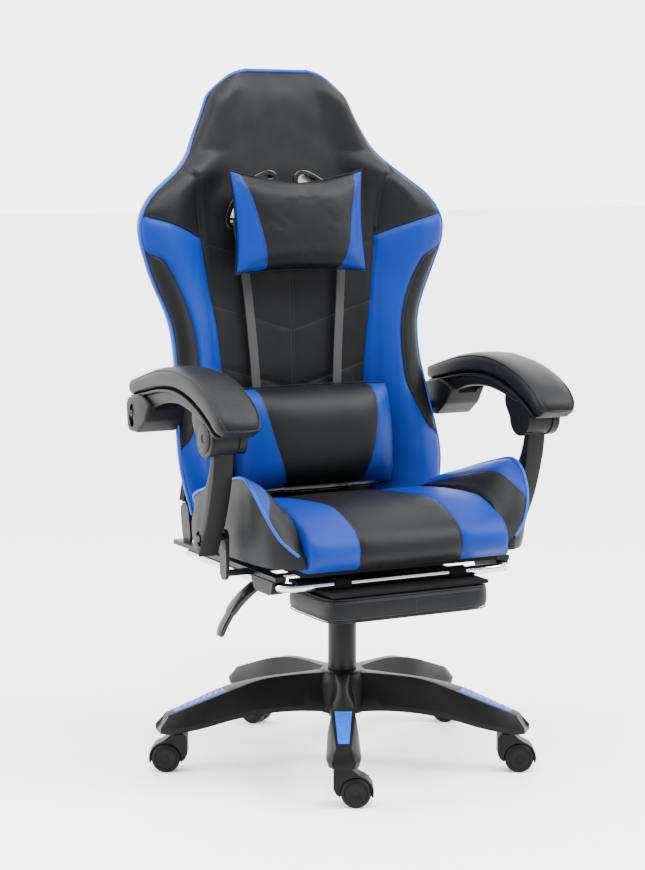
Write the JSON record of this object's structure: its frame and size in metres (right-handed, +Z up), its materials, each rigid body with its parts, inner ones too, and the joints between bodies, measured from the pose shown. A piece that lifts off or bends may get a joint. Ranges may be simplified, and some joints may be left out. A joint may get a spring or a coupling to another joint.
{
  "type": "gaming chair",
  "caption": "Reclining bucket-seat gaming chair with linked armrests, slide-out footrest, head and lumbar pillows and a caster base",
  "frame": {"origin": "on the floor, under the middle of the chair's bounding box; the gas lift's axis stands at x 0, y -0.015", "axes": "+Z up, the chair faces -Y, the sitter's left is +X"},
  "size_m": [0.6868, 0.6383, 1.208],
  "materials": {
    "black_plastic": "moulded, fine spark texture",
    "gloss_plastic": "moulded, glossy",
    "black_steel": "powder coated",
    "plated_steel": "zinc plated",
    "chrome": "bright chrome plated tube",
    "caster_nylon": "moulded nylon, satin",
    "black_vinyl": "grained PU leather over foam, sewn",
    "blue_vinyl": "grained PU leather over foam, sewn",
    "blue_plastic": "moulded, metallic blue",
    "elastic_webbing": "woven elastic",
    "seat_board": "plywood"
  },
  "bodies": {
    "base": {"star_base": "black_plastic", "leg_insert_1": "blue_plastic", "leg_insert_2": "blue_plastic", "leg_insert_3": "blue_plastic", "leg_insert_4": "blue_plastic", "leg_insert_5": "blue_plastic", "gas_lift_tube": "black_steel"},
    "lift": {"gas_lift_piston": "plated_steel"},
    "seat": {"mechanism_plate": "black_steel", "seat_frame": "black_steel", "seat_pan": "seat_board", "seat_cushion": "black_vinyl", "seat_wing_left": "blue_vinyl", "seat_wing_right": "blue_vinyl", "recliner_left": "black_steel", "recliner_right": "black_steel", "rail_guide_left": "black_plastic", "rail_guide_right": "black_plastic"},
    "height_lever": {"lever_rod": "plated_steel", "lever_paddle": "gloss_plastic"},
    "recline_lever": {"recline_lever": "gloss_plastic"},
    "footrest_rail": {"footrest_rail": "chrome"},
    "footrest": {"footrest_board": "seat_board", "footrest_pad": "black_vinyl"},
    "back": {"back_frame": "black_steel", "back_cushion": "black_vinyl", "slot_bezel_left": "gloss_plastic", "slot_bezel_right": "gloss_plastic", "head_pillow": "black_vinyl", "lumbar_pillow": "blue_vinyl", "strap_left": "elastic_webbing", "strap_right": "elastic_webbing"},
    "arm_left": {"arm_body_left": "black_plastic", "arm_pad_left": "black_vinyl", "hub_bolt_left": "black_steel"},
    "strut_left": {"arm_strut_left": "black_plastic"},
    "arm_right": {"arm_body_right": "black_plastic", "arm_pad_right": "black_vinyl", "hub_bolt_right": "black_steel"},
    "strut_right": {"arm_strut_right": "black_plastic"},
    "caster_1": {"caster_stem_1": "plated_steel", "caster_hood_1": "black_plastic"},
    "wheel_1_left": {"caster_wheel_1_left": "caster_nylon"},
    "wheel_1_right": {"caster_wheel_1_right": "caster_nylon"},
    "caster_2": {"caster_stem_2": "plated_steel", "caster_hood_2": "black_plastic"},
    "wheel_2_left": {"caster_wheel_2_left": "caster_nylon"},
    "wheel_2_right": {"caster_wheel_2_right": "caster_nylon"},
    "caster_3": {"caster_stem_3": "plated_steel", "caster_hood_3": "black_plastic"},
    "wheel_3_left": {"caster_wheel_3_left": "caster_nylon"},
    "wheel_3_right": {"caster_wheel_3_right": "caster_nylon"},
    "caster_4": {"caster_stem_4": "plated_steel", "caster_hood_4": "black_plastic"},
    "wheel_4_left": {"caster_wheel_4_left": "caster_nylon"},
    "wheel_4_right": {"caster_wheel_4_right": "caster_nylon"},
    "caster_5": {"caster_stem_5": "plated_steel", "caster_hood_5": "black_plastic"},
    "wheel_5_left": {"caster_wheel_5_left": "caster_nylon"},
    "wheel_5_right": {"caster_wheel_5_right": "caster_nylon"}
  },
  "joints": [
    {"name": "lift_slide", "type": "slide", "parent": "base", "child": "lift", "axis": [0, 0, 1], "range_m": [0, 0.08]},
    {"name": "seat_swivel", "type": "hinge", "parent": "lift", "child": "seat", "pos_m": [0, -0.015, 0.3], "axis": [0, 0, 1], "continuous": true},
    {"name": "height_lever_pull", "type": "hinge", "parent": "seat", "child": "height_lever", "pos_m": [-0.045, -0.015, 0.335], "axis": [0, 1, 0], "range_deg": [0, 7], "stiffness_Nm_per_rad": 1.5, "springref_deg": -5.73},
    {"name": "recline_lever_pull", "type": "hinge", "parent": "seat", "child": "recline_lever", "pos_m": [0.24, 0.177, 0.425], "axis": [-1, 0, 0], "range_deg": [0, 18], "stiffness_Nm_per_rad": 1, "springref_deg": -5.73},
    {"name": "recline", "type": "hinge", "parent": "seat", "child": "back", "pos_m": [0, 0.185, 0.425], "axis": [-1, 0, 0], "range_deg": [0, 45]},
    {"name": "footrest_slide", "type": "slide", "parent": "seat", "child": "footrest_rail", "axis": [0, -1, 0], "range_m": [0, 0.28]},
    {"name": "footrest_flip", "type": "hinge", "parent": "footrest_rail", "child": "footrest", "pos_m": [0, -0.216, 0.355], "axis": [-1, 0, 0], "range_deg": [0, 180]},
    {"name": "strut_turn_left", "type": "hinge", "parent": "seat", "child": "strut_left", "pos_m": [0.3, -0.11, 0.43], "axis": [-1, 0, 0], "range_deg": [0, 45]},
    {"name": "arm_turn_left", "type": "hinge", "parent": "back", "child": "arm_left", "pos_m": [0.3, 0.13, 0.598], "axis": [-1, 0, 0], "range_deg": [-45, 0]},
    {"name": "strut_turn_right", "type": "hinge", "parent": "seat", "child": "strut_right", "pos_m": [-0.3, -0.11, 0.43], "axis": [-1, 0, 0], "range_deg": [0, 45]},
    {"name": "arm_turn_right", "type": "hinge", "parent": "back", "child": "arm_right", "pos_m": [-0.3, 0.13, 0.598], "axis": [-1, 0, 0], "range_deg": [-45, 0]},
    {"name": "caster_1_swivel", "type": "hinge", "parent": "base", "child": "caster_1", "pos_m": [-0.13853, -0.27997, 0.055], "axis": [0, 0, 1], "continuous": true},
    {"name": "wheel_1_left_roll", "type": "hinge", "parent": "caster_1", "child": "wheel_1_left", "pos_m": [-0.12087, -0.28936, 0.025], "axis": [0.4695, 0.8829, 0], "continuous": true},
    {"name": "wheel_1_right_roll", "type": "hinge", "parent": "caster_1", "child": "wheel_1_right", "pos_m": [-0.12087, -0.28936, 0.025], "axis": [0.4695, 0.8829, 0], "continuous": true},
    {"name": "caster_2_swivel", "type": "hinge", "parent": "base", "child": "caster_2", "pos_m": [-0.29481, 0.03486, 0.055], "axis": [0, 0, 1], "continuous": true},
    {"name": "wheel_2_left_roll", "type": "hinge", "parent": "caster_2", "child": "wheel_2_left", "pos_m": [-0.31247, 0.04425, 0.025], "axis": [-0.4695, -0.8829, 0], "continuous": true},
    {"name": "wheel_2_right_roll", "type": "hinge", "parent": "caster_2", "child": "wheel_2_right", "pos_m": [-0.31247, 0.04425, 0.025], "axis": [-0.4695, -0.8829, 0], "continuous": true},
    {"name": "caster_3_swivel", "type": "hinge", "parent": "base", "child": "caster_3", "pos_m": [-0.04368, 0.28079, 0.055], "axis": [0, 0, 1], "continuous": true},
    {"name": "wheel_3_left_roll", "type": "hinge", "parent": "caster_3", "child": "wheel_3_left", "pos_m": [-0.03429, 0.26313, 0.025], "axis": [0.8829, 0.4695, 0], "continuous": true},
    {"name": "wheel_3_right_roll", "type": "hinge", "parent": "caster_3", "child": "wheel_3_right", "pos_m": [-0.03429, 0.26313, 0.025], "axis": [0.8829, 0.4695, 0], "continuous": true},
    {"name": "caster_4_swivel", "type": "hinge", "parent": "base", "child": "caster_4", "pos_m": [0.26782, 0.11795, 0.055], "axis": [0, 0, 1], "continuous": true},
    {"name": "wheel_4_left_roll", "type": "hinge", "parent": "caster_4", "child": "wheel_4_left", "pos_m": [0.28548, 0.10856, 0.025], "axis": [0.4695, 0.8829, 0], "continuous": true},
    {"name": "wheel_4_right_roll", "type": "hinge", "parent": "caster_4", "child": "wheel_4_right", "pos_m": [0.28548, 0.10856, 0.025], "axis": [0.4695, 0.8829, 0], "continuous": true},
    {"name": "caster_5_swivel", "type": "hinge", "parent": "base", "child": "caster_5", "pos_m": [0.2092, -0.22863, 0.055], "axis": [0, 0, 1], "continuous": true},
    {"name": "wheel_5_left_roll", "type": "hinge", "parent": "caster_5", "child": "wheel_5_left", "pos_m": [0.22686, -0.23802, 0.025], "axis": [0.4695, 0.8829, 0], "continuous": true},
    {"name": "wheel_5_right_roll", "type": "hinge", "parent": "caster_5", "child": "wheel_5_right", "pos_m": [0.22686, -0.23802, 0.025], "axis": [0.4695, 0.8829, 0], "continuous": true}
  ],
  "couplings": [
    {"joint": "footrest_flip", "follows": "footrest_slide", "rad_per_m": 11.22},
    {"joint": "strut_turn_left", "follows": "recline", "ratio": 1},
    {"joint": "arm_turn_left", "follows": "recline", "ratio": -1},
    {"joint": "strut_turn_right", "follows": "recline", "ratio": 1},
    {"joint": "arm_turn_right", "follows": "recline", "ratio": -1}
  ]
}
